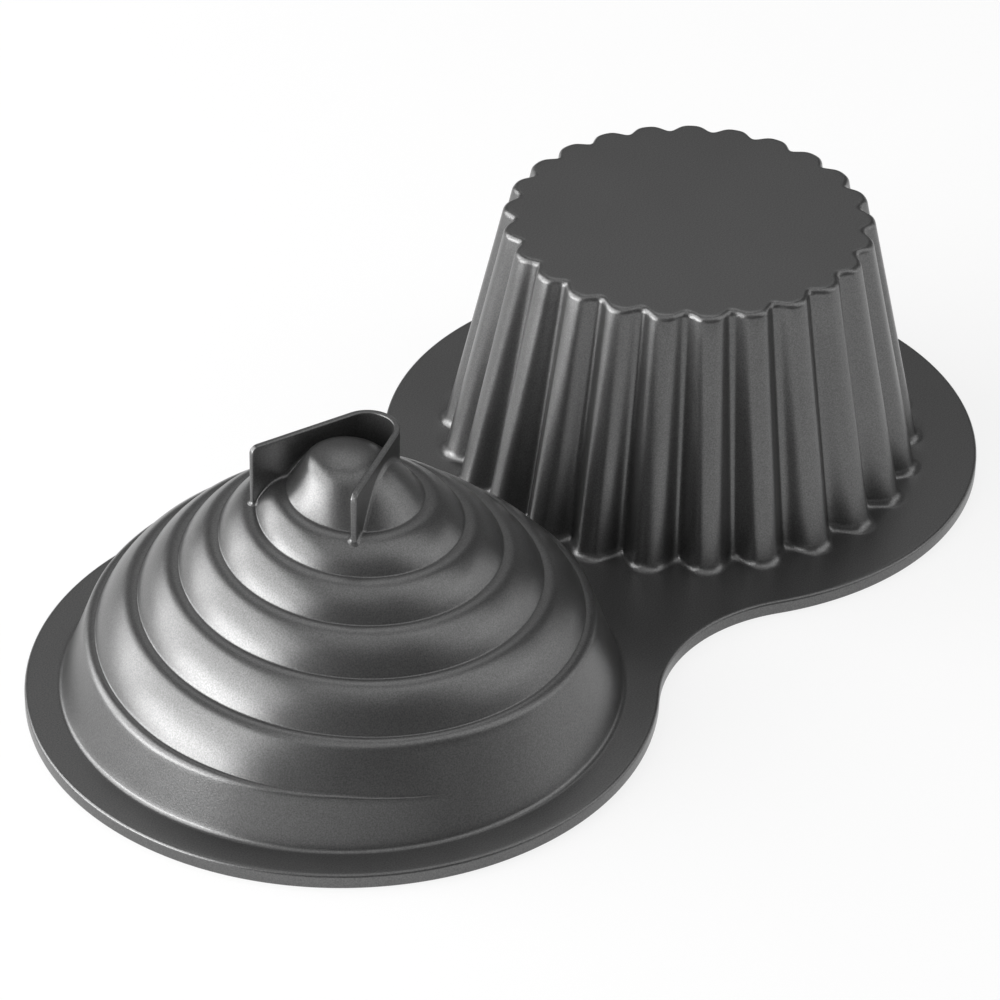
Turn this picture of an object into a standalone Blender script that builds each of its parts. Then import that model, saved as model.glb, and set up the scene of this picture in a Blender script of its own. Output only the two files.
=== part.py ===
"""Giant cupcake pan, standing upside down on its rim.

A figure of eight rim carries two moulds side by side: a fluted cup for the bottom
half of the cake and a stepped spiral for the top half. A bent wall round the tip
of the spiral is level with the cup's base, so the pan stands straight when it is
turned over. Metres, +Z up, the floor at Z = 0, the cup on the +X side.
"""

import math

import bmesh
import bpy
import numpy as np

# Whole pan
OVERALL_HEIGHT = 0.096
WALL_THICKNESS = 0.003
SEAM_GAP = 0.0003

# Rim and flange
RIM_LOBE_RADIUS = 0.106
WAIST_RADIUS = 0.059
RIM_HEIGHT = 0.005
PLATE_THICKNESS = 0.0032
LIP_WIDTH = 0.004
RIM_EDGE_ROUND = 0.0012
SWIRL_LEDGE = 0.0108
CUP_LEDGE = 0.0196
WEB_BETWEEN_MOULDS = 0.0064

# Fluted cup
FLUTE_COUNT = 25
CUP_WALL_LEAN = math.radians(11.3)
FLUTE_SWELL_AT_FOOT = 0.00375
FLUTE_SWELL_AT_BASE = 0.00185
CUP_FOOT_FILLET = 0.002
CUP_BASE_ROUND = 0.0015
CUP_INSIDE_ROUND = 0.003

# Stepped spiral
SWIRL_FOOT_FILLET = 0.001
SPIRAL_TURNS = 5
SPIRAL_START_ANGLE = math.radians(217.85)
SPIRAL_START_INSET = 0.0062
SPIRAL_START_RISE = 0.0185
SPIRAL_END_RADIUS = 0.0216
SPIRAL_END_DROP = 0.0156
SPIRAL_PINCH = 0.0072
SPIRAL_BULGE = 0.0178
SPIRAL_SHIFT_X = 0.0010
SPIRAL_SHIFT_Y = -0.0033
SPIRAL_TILT = 0.0012
STEP_LEDGE = 0.0026
STEP_WALL_ANGLE = math.radians(82)
STEP_TOP_ANGLE = math.radians(6)
STEP_PULLS = (0.42, 0.30)
DOME_RING_RADIUS = 0.009
DOME_RING_DROP = 0.0016
DOME_WALL_ANGLE = math.radians(66)
DOME_TOP_ANGLE = math.radians(12)
DOME_PULLS = (0.35, 0.40)

# Stand wall round the tip of the spiral
STAND_REACH = 0.0157
STAND_THICKNESS = 0.0022
STAND_BEND_RADIUS = 0.0113
STAND_LEG_ANGLE = math.radians(18)
STAND_LEG_END = 0.0208
STAND_EDGE_ROUND = 0.0005
STAND_CORNER_ROUND = 0.002
STAND_DEPTH = 0.024

# Where the crease of the spiral comes out of the wall and runs out over the dome, in turns
RAMP_TURNS = 0.35
FADE_IN_START = -0.05
FADE_IN_END = 0.3
SHIFT_END_TURNS = 1.2
SHIFT_FADE_TURNS = 2.0
TIP_START_TURNS = 0.25
TIP_FADE_TURNS = 0.25
TIP_TURNS = 0.85

# Fineness of the facets
RIM_LOBE_STEPS = 48
WAIST_STEPS = 8
STEPS_PER_FLUTE = 8
FILLET_STEPS = 2
TURN_STEPS = 42
STEP_ROWS = 5
CROWN_ROWS = 2
BEND_STEPS = 12
CORNER_STEPS = 4
HEIGHT_SAMPLES = 65

# Limits used by the modelling tools
WELD_DISTANCE = 1e-6
SMOOTH_UNDER = math.radians(40)
ROUND_OVER = math.radians(50)

# Sizes that follow from the ones above
PLATE_UNDERSIDE = RIM_HEIGHT - PLATE_THICKNESS
SWIRL_SEAM_RADIUS = RIM_LOBE_RADIUS - SWIRL_LEDGE
CUP_SEAM_RADIUS = RIM_LOBE_RADIUS - CUP_LEDGE
LOBE_SPACING = SWIRL_SEAM_RADIUS + CUP_SEAM_RADIUS + WEB_BETWEEN_MOULDS
SWIRL_X = -LOBE_SPACING / 2
CUP_X = LOBE_SPACING / 2
FILLET_TANGENT = SWIRL_FOOT_FILLET / math.tan((math.pi - STEP_WALL_ANGLE) / 2)
SWIRL_WALL_RADIUS = SWIRL_SEAM_RADIUS - FILLET_TANGENT * (1 + math.cos(STEP_WALL_ANGLE))
SWIRL_WALL_HEIGHT = RIM_HEIGHT + FILLET_TANGENT * math.sin(STEP_WALL_ANGLE)
RAMP = round(RAMP_TURNS * TURN_STEPS) / TURN_STEPS
TIP = round(TIP_TURNS * TURN_STEPS) / TURN_STEPS

COAT_METALLIC = 0.85
FINISHES = {
    "rim_plate": ((0.085, 0.083, 0.080, 1.0), 0.42),
    "cup_mould": ((0.090, 0.088, 0.085, 1.0), 0.40),
    "swirl_mould": ((0.080, 0.078, 0.076, 1.0), 0.44),
    "stand_foot": ((0.070, 0.068, 0.066, 1.0), 0.45),
}


def clear_scene():
    """Empties the scene that Blender starts with."""
    for obj in list(bpy.data.objects):
        bpy.data.objects.remove(obj, do_unlink=True)


def new_collection(name):
    """Adds a collection to the scene."""
    collection = bpy.data.collections.new(name)
    bpy.context.scene.collection.children.link(collection)
    return collection


def new_material(name):
    """Dark metal with a non-stick coat, one material for each piece."""
    colour, roughness = FINISHES[name]
    material = bpy.data.materials.new(name + "_coat")
    material.use_nodes = True
    shader = material.node_tree.nodes["Principled BSDF"]
    shader.inputs["Base Color"].default_value = colour
    shader.inputs["Metallic"].default_value = COAT_METALLIC
    shader.inputs["Roughness"].default_value = roughness
    return material


def add_object(name, mesh, collection):
    """Puts a mesh into the collection as a named object."""
    obj = bpy.data.objects.new(name, mesh)
    collection.objects.link(obj)
    return obj


def finish_piece(obj):
    """Gives a piece its own material and smooth shading with sharp corners kept."""
    obj.data.materials.append(new_material(obj.name))
    obj.data.shade_smooth()
    obj.data.set_sharp_from_angle(angle=SMOOTH_UNDER)


def hide_cutter(obj):
    """Keeps a cutter out of the render and shows it as wire."""
    obj.hide_render = True
    obj.display_type = "WIRE"


def prism(name, outline, bottom, top, collection):
    """A flat outline given a height: a filled 2D curve made a mesh, its caps welded on."""
    curve = bpy.data.curves.new(name, "CURVE")
    curve.dimensions = "2D"
    curve.fill_mode = "BOTH"
    curve.extrude = (top - bottom) / 2
    spline = curve.splines.new("POLY")
    spline.points.add(len(outline) - 1)
    for point, (x, y) in zip(spline.points, outline):
        point.co = (x, y, 0, 1)
    spline.use_cyclic_u = True
    guide = add_object(name + "_outline", curve, collection)
    evaluated = guide.evaluated_get(bpy.context.evaluated_depsgraph_get())
    mesh = bpy.data.meshes.new_from_object(evaluated)
    bpy.data.objects.remove(guide, do_unlink=True)
    shape = bmesh.new()
    shape.from_mesh(mesh)
    bmesh.ops.remove_doubles(shape, verts=shape.verts, dist=WELD_DISTANCE)
    shape.to_mesh(mesh)
    shape.free()
    obj = add_object(name, mesh, collection)
    obj.location.z = (top + bottom) / 2
    return obj


def cut(obj, cutter):
    """Takes the cutter's shape out of the object."""
    modifier = obj.modifiers.new("cut by " + cutter.name, "BOOLEAN")
    modifier.operation = "DIFFERENCE"
    modifier.object = cutter


def round_edges(obj, radius):
    """Rounds every edge that is sharper than the facets of the outline."""
    modifier = obj.modifiers.new("rounded edges", "BEVEL")
    modifier.width = radius
    modifier.segments = FILLET_STEPS
    modifier.limit_method = "ANGLE"
    modifier.angle_limit = ROUND_OVER


def arc(centre, radius, start, end, steps):
    """Points along an arc, from start to end, both included."""
    angle = np.linspace(start, end, steps + 1)
    x = centre[0] + radius * np.cos(angle)
    y = centre[1] + radius * np.sin(angle)
    return np.stack([x, y], axis=1)


def grown_outline(points, distance):
    """A closed outline moved outwards by a distance, square to its own line."""
    along = np.roll(points, -1, axis=0) - np.roll(points, 1, axis=0)
    along = along / np.linalg.norm(along, axis=1, keepdims=True)
    return points + distance * np.stack([along[:, 1], -along[:, 0]], axis=1)


def rim_outline(inset):
    """The figure of eight: two lobes joined by two hollow arcs tangent to both."""
    lobe = RIM_LOBE_RADIUS - inset
    waist = WAIST_RADIUS + inset
    half = LOBE_SPACING / 2
    waist_y = math.sqrt((lobe + waist) ** 2 - half**2)
    joint = math.atan2(waist_y, half)
    lobe_end = math.pi - joint
    return np.concatenate(
        [
            arc((half, 0), lobe, -lobe_end, lobe_end, RIM_LOBE_STEPS),
            arc((0, waist_y), waist, -joint, joint - math.pi, WAIST_STEPS)[1:-1],
            arc((-half, 0), lobe, joint, math.tau - joint, RIM_LOBE_STEPS),
            arc((0, -waist_y), waist, math.pi - joint, joint, WAIST_STEPS)[1:-1],
        ]
    )


def build_rim(parts, cutters):
    """The flange plate: a thin plate with two holes, and a lip turned down all round it."""
    rim = prism("rim_plate", rim_outline(0), 0, RIM_HEIGHT, parts)
    round_edges(rim, RIM_EDGE_ROUND)
    below = -RIM_HEIGHT
    above = 2 * RIM_HEIGHT
    angle, wave = flute_wave()
    radius = cup_seam_radii(wave)
    cup_seam = np.stack([CUP_X + radius * np.cos(angle), radius * np.sin(angle)], axis=1)
    swirl_seam = ring(-np.arange(TURN_STEPS) / TURN_STEPS, SWIRL_SEAM_RADIUS, 0)[:, :2]
    swirl_seam += (SWIRL_X, 0)
    cuts = (
        ("rim_underside_cutter", rim_outline(LIP_WIDTH), PLATE_UNDERSIDE),
        ("cup_hole_cutter", grown_outline(cup_seam, SEAM_GAP), above),
        ("swirl_hole_cutter", grown_outline(swirl_seam, SEAM_GAP), above),
    )
    for name, outline, top in cuts:
        cutter = prism(name, outline, below, top, cutters)
        hide_cutter(cutter)
        cut(rim, cutter)
    finish_piece(rim)


def flute_wave():
    """Angles round the cup, and the flutes' wave there, -1 in a valley and 1 on a crest."""
    steps = FLUTE_COUNT * STEPS_PER_FLUTE
    angle = np.arange(steps) * math.tau / steps
    return angle, -np.cos(FLUTE_COUNT * angle)


def cup_corner_radii(wave):
    """Where the cup's straight wall would meet the flange and the level of its base."""
    rise = OVERALL_HEIGHT - RIM_HEIGHT
    drawn_in = rise * math.tan(CUP_WALL_LEAN)
    crest_lean = math.atan2(drawn_in + FLUTE_SWELL_AT_FOOT - FLUTE_SWELL_AT_BASE, rise)
    fillet_width = CUP_FOOT_FILLET * math.tan((math.pi / 2 - crest_lean) / 2)
    mean_foot = CUP_SEAM_RADIUS - fillet_width - FLUTE_SWELL_AT_FOOT
    foot = mean_foot + FLUTE_SWELL_AT_FOOT * wave
    base = mean_foot - drawn_in + FLUTE_SWELL_AT_BASE * wave
    return foot, base


def cup_seam_radii(wave):
    """The outer line of the fillet at the cup's foot."""
    foot, base = cup_corner_radii(wave)
    lean = np.arctan2(foot - base, OVERALL_HEIGHT - RIM_HEIGHT)
    return foot + CUP_FOOT_FILLET * np.tan((math.pi / 2 - lean) / 2)


def level(radii, height):
    """A row of a section: one (radius, height) pair for each angle, all at one height."""
    return np.stack([radii, np.full_like(radii, height)], axis=1)


def unit(vectors):
    """Rows of vectors made one long."""
    return vectors / np.linalg.norm(vectors, axis=1, keepdims=True)


def rounded_corner(before, corner, after, radius):
    """Rows round a corner of a section: an arc tangent to both of the corner's sides.

    The arc's centre lies on the line that halves the corner. Its points are the centre
    plus the radius along a direction that turns from one side's normal to the other's.
    """
    back = unit(before - corner)
    ahead = unit(after - corner)
    half = np.arccos((back * ahead).sum(axis=1)) / 2
    middle = unit(back + ahead)
    centre = corner + middle * (radius / np.sin(half))[:, None]
    across = unit(back - ahead)
    rows = []
    for share in np.linspace(1, -1, FILLET_STEPS + 1):
        spread = share * (math.pi / 2 - half)[:, None]
        rows.append(centre + radius * (across * np.sin(spread) - middle * np.cos(spread)))
    return rows


def build_cup(parts):
    """The fluted cup: a lofted shell whose flutes deepen towards the foot."""
    angle, wave = flute_wave()
    foot, base = cup_corner_radii(wave)
    seam = cup_seam_radii(wave)
    wall = WALL_THICKNESS / math.cos(CUP_WALL_LEAN)
    slope = (foot - base) / (OVERALL_HEIGHT - RIM_HEIGHT)
    under_base = OVERALL_HEIGHT - WALL_THICKNESS
    inside_base = level(base - wall + slope * WALL_THICKNESS, under_base)
    inside_foot = level(foot - wall + slope * PLATE_THICKNESS, PLATE_UNDERSIDE)
    outside_foot = level(foot, RIM_HEIGHT)
    outside_base = level(base, OVERALL_HEIGHT)
    middle = np.zeros_like(base)
    seam_low = level(seam, PLATE_UNDERSIDE)
    seam_high = level(seam, RIM_HEIGHT)
    outside = rounded_corner(seam_high, outside_foot, outside_base, CUP_FOOT_FILLET)
    outside += rounded_corner(
        outside_foot, outside_base, level(middle, OVERALL_HEIGHT), CUP_BASE_ROUND
    )
    inside = rounded_corner(
        level(middle, under_base), inside_base, inside_foot, CUP_INSIDE_ROUND
    )
    rows = [seam_low, *outside, level(middle, OVERALL_HEIGHT), level(middle, under_base)]
    rows += [*inside, inside_foot, seam_low]
    section = np.stack(rows, axis=1)
    plan = np.stack([np.cos(angle), np.sin(angle)], axis=1)[:, None]
    points = np.concatenate([plan * section[..., :1], section[..., 1:]], axis=2)
    points = np.concatenate([points, points[:1]])
    cup = add_object("cup_mould", joined_grids("cup_mould", [points]), parts)
    cup.location.x = CUP_X
    finish_piece(cup)


def joined_grids(name, grids):
    """A mesh of quads on grids of points, welded where the grids or their edges meet."""
    points = []
    faces = []
    for grid in grids:
        number = np.arange(grid.shape[0] * grid.shape[1]).reshape(grid.shape[:2])
        number += sum(len(block) for block in points)
        corners = (number[:-1, :-1], number[1:, :-1], number[1:, 1:], number[:-1, 1:])
        faces.append(np.stack(corners, axis=2).reshape(-1, 4))
        points.append(grid.reshape(-1, 3))
    mesh = bpy.data.meshes.new(name)
    mesh.from_pydata(np.concatenate(points), [], np.concatenate(faces))
    shape = bmesh.new()
    shape.from_mesh(mesh)
    bmesh.ops.remove_doubles(shape, verts=shape.verts, dist=WELD_DISTANCE)
    shape.to_mesh(mesh)
    shape.free()
    return mesh


def smooth_step(start, end, value):
    """0 below start, 1 above end, and a soft rise between them."""
    share = np.clip((value - start) / (end - start), 0, 1)
    return share * share * (3 - 2 * share)


def mix(first, second, weight):
    """Between two grids, the second where a column's weight is 1."""
    weight = weight[:, None, None]
    return first * (1 - weight) + second * weight


def ring(turn, radius, height):
    """Points of a level ring at the spiral's plan angles, which fall as the turns grow."""
    angle = SPIRAL_START_ANGLE - math.tau * turn
    flat = np.full_like(angle, height)
    return np.stack([radius * np.cos(angle), radius * np.sin(angle), flat], axis=1)


def foot_ring(turn):
    """The line where the wall leaves the fillet at the mould's foot."""
    return ring(turn, SWIRL_WALL_RADIUS, SWIRL_WALL_HEIGHT)


def dome_ring(turn):
    """The line where the dome's wall meets its crown."""
    return ring(turn, DOME_RING_RADIUS, OVERALL_HEIGHT - DOME_RING_DROP)


def crease(turn):
    """The crease at the foot of each step.

    Radius and height go from the start's to the end's in a straight line, less or plus
    a parabola that is zero at both. The turns lie a little off the mould's centre and
    a little tilted, and both fade out over the last turns.
    """
    share = turn / SPIRAL_TURNS
    parabola = share * (1 - share)
    start_radius = SWIRL_WALL_RADIUS - SPIRAL_START_INSET
    start_height = RIM_HEIGHT + SPIRAL_START_RISE
    end_height = OVERALL_HEIGHT - SPIRAL_END_DROP
    radius = start_radius + (SPIRAL_END_RADIUS - start_radius) * share - SPIRAL_PINCH * parabola
    height = start_height + (end_height - start_height) * share + SPIRAL_BULGE * parabola
    fade = np.clip((SPIRAL_TURNS + SHIFT_END_TURNS - turn) / SHIFT_FADE_TURNS, 0, 1)
    points = ring(turn, 1.0, 0.0)
    height += fade * SPIRAL_TILT * points[:, 1]
    x = fade * SPIRAL_SHIFT_X + radius * points[:, 0]
    y = fade * SPIRAL_SHIFT_Y + radius * points[:, 1]
    return np.stack([x, y, height], axis=1)


def curve_up(lower, upper, share, angles, pulls, ledge):
    """Points up a wall, from its lower to its upper line, in the upright plane of both.

    The wall and its rounded top are one cubic Bezier curve. It leaves the lower line at
    the first angle and ends at the second, a ledge's width short of the upper line. The
    pulls are the lengths of its two handles, as shares of its chord. Share is the curve's
    parameter, one row of values for each point of the lines.
    """
    run = upper - lower
    length = np.hypot(run[:, 0], run[:, 1])[:, None]
    heading = run[:, :2] / length
    reach = length - ledge
    rise = run[:, 2:] - ledge * math.tan(angles[1])
    chord = np.hypot(reach, rise)
    near_out = pulls[0] * chord * math.cos(angles[0])
    near_up = pulls[0] * chord * math.sin(angles[0])
    far_out = reach - pulls[1] * chord * math.cos(angles[1])
    far_up = rise - pulls[1] * chord * math.sin(angles[1])
    rest = 1 - share
    near = 3 * rest**2 * share
    far = 3 * rest * share**2
    out = near * near_out + far * far_out + share**3 * reach
    up = near * near_up + far * far_up + share**3 * rise
    plan = lower[:, None, :2] + out[..., None] * heading[:, None]
    return np.concatenate([plan, (lower[:, 2:] + up)[..., None]], axis=2)


def step_curve(lower, upper, share):
    """The wall and rounded top of a step, which end where its ledge starts."""
    angles = (STEP_WALL_ANGLE, STEP_TOP_ANGLE)
    return curve_up(lower, upper, share, angles, STEP_PULLS, STEP_LEDGE)


def dome_curve(lower, upper, share):
    """The dome's wall."""
    angles = (DOME_WALL_ANGLE, DOME_TOP_ANGLE)
    return curve_up(lower, upper, share, angles, DOME_PULLS, 0.0)


def step_rows(lower, upper, start):
    """Rows up a step from the start parameter of its curve, with its ledge as the last row."""
    along = np.minimum(np.arange(STEP_ROWS + 1) / (STEP_ROWS - 1), 1)
    rows = step_curve(lower, upper, start[:, None] + (1 - start[:, None]) * along)
    rows[:, -1] = upper
    return rows


def even_rows(curve, lower, upper, start, end):
    """Rows up part of a curve, from the start to the end parameter."""
    share = np.linspace(0, 1, STEP_ROWS + 1)
    return curve(lower, upper, start[:, None] + (end - start)[:, None] * share)


def share_at_height(curve, lower, upper, height):
    """The curve parameter at which a wall passes a height, read from fine points."""
    fine = np.linspace(0, 1, HEIGHT_SAMPLES)
    heights = curve(lower, upper, np.broadcast_to(fine, (len(lower), HEIGHT_SAMPLES)))[..., 2]
    return np.array([np.interp(z, column, fine) for z, column in zip(height, heights)])


def start_of_crease(turn):
    """Where the first crease climbs the wall unseen, and how far it is then grown."""
    climb = np.clip((turn + RAMP) / RAMP, 0, 1)
    foot = foot_ring(turn)
    height = foot[:, 2] + (crease(turn)[:, 2] - foot[:, 2]) * climb
    hidden = share_at_height(step_curve, foot, crease(turn + 1), height)
    return hidden, smooth_step(FADE_IN_START, FADE_IN_END, turn)


def below_start(turn):
    """The wall under the first crease while that grows."""
    after = turn + 1
    hidden, grown = start_of_crease(after)
    none = np.zeros_like(turn)
    plain = even_rows(step_curve, foot_ring(after), crease(after + 1), none, hidden)
    return mix(plain, step_rows(foot_ring(after), crease(after), none), grown)


def foot_band(turn):
    """The band between the mould's foot and the first turn of the crease."""
    return step_rows(foot_ring(turn), crease(turn + 1), np.zeros_like(turn))


def above_start(turn):
    """The wall over the first crease while that grows."""
    hidden, grown = start_of_crease(turn)
    plain = step_rows(foot_ring(turn), crease(turn + 1), hidden)
    return mix(plain, plain_step(turn), grown)


def plain_step(turn):
    """A step between two turns of the crease."""
    return step_rows(crease(turn), crease(turn + 1), np.zeros_like(turn))


def end_of_crease(turn):
    """Where the last crease runs out over the dome, and how much of it is left."""
    start = SPIRAL_TURNS + TIP_START_TURNS
    rise = smooth_step(start, SPIRAL_TURNS + TIP, turn)
    top = dome_ring(turn)
    height = crease(turn)[:, 2] + (top[:, 2] - crease(turn)[:, 2]) * rise
    hidden = share_at_height(dome_curve, crease(turn - 1), top, height)
    return hidden, 1 - smooth_step(start, start + TIP_FADE_TURNS, turn)


def below_tip(turn):
    """The last step while its crease runs out over the dome."""
    hidden, left = end_of_crease(turn + 1)
    none = np.zeros_like(turn)
    plain = even_rows(dome_curve, crease(turn), dome_ring(turn), none, hidden)
    return mix(plain, plain_step(turn), left)


def dome_wall(turn):
    """The dome over the last turn of the crease."""
    none = np.zeros_like(turn)
    return even_rows(dome_curve, crease(turn), dome_ring(turn), none, none + 1)


def above_tip(turn):
    """The dome over the last crease while that runs out."""
    hidden, left = end_of_crease(turn)
    whole = np.ones_like(turn)
    plain = even_rows(dome_curve, crease(turn - 1), dome_ring(turn), hidden, whole)
    return mix(plain, dome_wall(turn), left)


def swirl_strip():
    """The stepped wall as one long strip: a column for each angle, rows up each step.

    A column runs from the crease to the crease one turn further on, so the strip's upper
    edge is its own lower edge one turn later. It starts at nothing on the foot's ring and
    ends at nothing on the dome's ring.
    """
    first = -RAMP - 1
    last = SPIRAL_TURNS + TIP
    tip_start = SPIRAL_TURNS + TIP_START_TURNS
    turn = first + np.arange(round((last - first) * TURN_STEPS) + 1) / TURN_STEPS
    ends = (FADE_IN_END - 1, -RAMP, FADE_IN_END, tip_start - 1, last - 1, tip_start)
    zones = (below_start, foot_band, above_start, plain_step, below_tip, dome_wall, above_tip)
    zone_of = np.searchsorted(ends, turn)
    return np.concatenate([zone(turn[zone_of == i]) for i, zone in enumerate(zones)])


def swirl_surface(name):
    """The spiral mould's outer face as one mesh, open at its foot."""
    turn = -RAMP - np.arange(TURN_STEPS + 1) / TURN_STEPS
    even = np.ones_like(turn)
    seam = level(SWIRL_SEAM_RADIUS * even, RIM_HEIGHT)
    corner = level((SWIRL_SEAM_RADIUS - FILLET_TANGENT) * even, RIM_HEIGHT)
    wall = level(SWIRL_WALL_RADIUS * even, SWIRL_WALL_HEIGHT)
    section = [level(SWIRL_SEAM_RADIUS * even, PLATE_UNDERSIDE)]
    section += rounded_corner(seam, corner, wall, SWIRL_FOOT_FILLET)
    foot = np.stack([ring(turn, row[:, 0], row[0, 1]) for row in section], axis=1)
    crown = []
    for share in np.linspace(1, 0, CROWN_ROWS + 1):
        fall = DOME_RING_RADIUS * math.tan(DOME_TOP_ANGLE) / 2 * (1 - share**2)
        crown.append(dome_ring(turn) * (share, share, 1) + (0, 0, fall))
    crown = np.stack(crown, axis=1)
    return joined_grids(name, [foot, swirl_strip()[::-1], crown])


def build_swirl(parts):
    """The spiral mould: its outer face given a wall inwards."""
    swirl = add_object("swirl_mould", swirl_surface("swirl_mould"), parts)
    swirl.location.x = SWIRL_X
    wall = swirl.modifiers.new("wall", "SOLIDIFY")
    wall.thickness = WALL_THICKNESS
    wall.offset = -1
    wall.use_even_offset = True
    finish_piece(swirl)


def swirl_cutter(cutters):
    """The spiral mould's outer shape closed and grown by the seam's gap."""
    mesh = swirl_surface("swirl_cutter")
    shape = bmesh.new()
    shape.from_mesh(mesh)
    bmesh.ops.holes_fill(shape, edges=shape.edges, sides=0)
    shape.to_mesh(mesh)
    shape.free()
    cutter = add_object("swirl_cutter", mesh, cutters)
    cutter.location.x = SWIRL_X
    growth = cutter.modifiers.new("gap", "DISPLACE")
    growth.strength = SEAM_GAP
    growth.mid_level = 0
    hide_cutter(cutter)
    return cutter


def stand_outline():
    """The bent wall in plan: two straight legs and a round bend on the cup's side."""
    quarter = math.pi / 2 - STAND_LEG_ANGLE
    bend_x = (STAND_REACH - STAND_BEND_RADIUS) / math.sin(STAND_LEG_ANGLE)
    line = []
    for reach, turn in ((STAND_BEND_RADIUS, 1), (STAND_BEND_RADIUS - STAND_THICKNESS, -1)):
        bend = arc((bend_x, 0), reach, -turn * quarter, turn * quarter, BEND_STEPS)
        run = (bend[0, 0] + STAND_LEG_END + STAND_THICKNESS) / math.cos(STAND_LEG_ANGLE)
        leg = -run * np.array((math.cos(STAND_LEG_ANGLE), turn * math.sin(STAND_LEG_ANGLE)))
        start = bend[0] + leg
        end = bend[-1] + leg * (1, -1)
        line += [start, *bend, end]
    return np.array(line)


def stand_side_guide(cutters):
    """The stand's shape from the side: a level top with a round corner at the legs' ends."""
    reach = 2 * STAND_REACH
    corner_x = STAND_CORNER_ROUND - STAND_LEG_END
    corner_z = OVERALL_HEIGHT - STAND_CORNER_ROUND
    corner = arc((corner_x, corner_z), STAND_CORNER_ROUND, math.pi / 2, math.pi, CORNER_STEPS)
    outline = [(-STAND_LEG_END, 0), (reach, 0), (reach, OVERALL_HEIGHT), *corner]
    guide = prism("stand_side_guide", outline, -reach, reach, cutters)
    guide.rotation_euler.x = math.pi / 2
    guide.location = (SWIRL_X, 0, 0)
    hide_cutter(guide)
    return guide


def build_stand(parts, cutters):
    """The stand wall: a bent strip on edge, level on top, its foot cut to the spiral."""
    bottom = OVERALL_HEIGHT - STAND_DEPTH
    stand = prism("stand_foot", stand_outline(), bottom, OVERALL_HEIGHT, parts)
    stand.location.x = SWIRL_X
    trim = stand.modifiers.new("side shape", "BOOLEAN")
    trim.operation = "INTERSECT"
    trim.object = stand_side_guide(cutters)
    round_edges(stand, STAND_EDGE_ROUND)
    cut(stand, swirl_cutter(cutters))
    finish_piece(stand)


def main():
    """Builds the four regions of the casting."""
    clear_scene()
    parts = new_collection("giant_cupcake_pan")
    cutters = new_collection("cutters")
    build_rim(parts, cutters)
    build_cup(parts)
    build_swirl(parts)
    build_stand(parts, cutters)


main()
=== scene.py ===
"""Looks of the giant cupcake pan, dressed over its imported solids.

The pan is one coated casting, standing upside down on its rim. Four finer surfaces
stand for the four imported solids: the flange, the fluted cup, the stepped spiral and
the stand wall. Both moulds meet the flange edge to edge, and the stand's foot is flared
onto the spiral, so no seam shows. Metres, +Z up, the floor at Z = 0, the cup on the +X
side.
"""

import math
from contextlib import contextmanager

import bmesh
import bpy
import numpy as np
from bpy.props import FloatProperty, FloatVectorProperty, IntProperty, PointerProperty
from mathutils import Matrix, Vector


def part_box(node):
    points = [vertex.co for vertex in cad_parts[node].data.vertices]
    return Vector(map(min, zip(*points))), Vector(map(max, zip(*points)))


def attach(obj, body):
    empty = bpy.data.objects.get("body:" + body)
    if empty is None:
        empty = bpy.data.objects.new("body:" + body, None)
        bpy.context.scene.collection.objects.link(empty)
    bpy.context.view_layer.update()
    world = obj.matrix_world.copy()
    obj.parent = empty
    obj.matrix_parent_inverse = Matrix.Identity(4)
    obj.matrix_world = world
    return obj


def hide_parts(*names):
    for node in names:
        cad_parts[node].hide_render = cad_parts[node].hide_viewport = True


bl_info = {
    "name": "Giant Cupcake Pan",
    "version": (1, 0, 0),
    "blender": (4, 5, 0),
    "location": "View3D > Sidebar > Cupcake Pan",
    "description": "Builds the coated casting of a giant cupcake pan and its studio",
    "category": "Add Mesh",
}

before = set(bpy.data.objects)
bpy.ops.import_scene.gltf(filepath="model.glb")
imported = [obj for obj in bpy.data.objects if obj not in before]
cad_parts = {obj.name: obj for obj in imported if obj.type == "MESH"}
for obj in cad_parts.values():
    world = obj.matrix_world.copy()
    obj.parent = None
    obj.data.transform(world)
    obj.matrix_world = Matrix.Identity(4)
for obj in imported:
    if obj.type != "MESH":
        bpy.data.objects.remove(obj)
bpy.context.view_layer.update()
RIM_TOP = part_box("rim_plate")[1].z
PLATE_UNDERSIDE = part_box("swirl_mould")[0].z
PAN_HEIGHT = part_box("cup_mould")[1].z

# Fineness of the surfaces
LOBE_STEPS = 180
WAIST_STEPS = 36
STEPS_PER_FLUTE = 26
CUP_WALL_ROWS = 14
BASE_RINGS = (0.95, 0.6, 0.3)
TURN_STEPS = 210
STEP_ROWS = 18
WALL_ROWS = 11
CREASE_STEPS = 3
CROWN_ROWS = 10
FILLET_STEPS = 8
END_STEPS = 14
LEG_STEPS = 96
LEG_CROWDING = 1.5
BEND_STEPS = 60
STAND_WALL_ROWS = 10

# Distance within which points are welded, and length under which a vector points nowhere
WELD = 1e-6
LEAST_LENGTH = 1e-12

# Angle from which an edge is shaded sharp
SHARP_EDGE = math.radians(50)

# The crease's round: the least half corner that it reckons with, in radians, and the
# largest share that it takes of the rows beside it
LEAST_HALF_CORNER = 0.1
LARGEST_SHARE = 0.8

# Reading heights: the turns of the spiral under the stand, the steps in which the dome
# is read, and how many points are looked up at one time
STAND_GROUND_TURNS = 3.2
READING_STEPS = 128
POINTS_AT_A_TIME = 20

# Where the values of a noise texture mostly lie
NOISE_RANGE = (0.3, 0.7)

# The stage, in metres, with the camera's sensor in millimetres
FLOOR_WIDTH = 20
FLOOR_GAP = 0.0001
LAMP_DISTANCE = 1.6
SENSOR_WIDTH = 36


def length_property(name, description, default):
    """A length in metres."""
    return FloatProperty(
        name=name, description=description, default=default, unit="LENGTH", precision=4
    )


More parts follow.
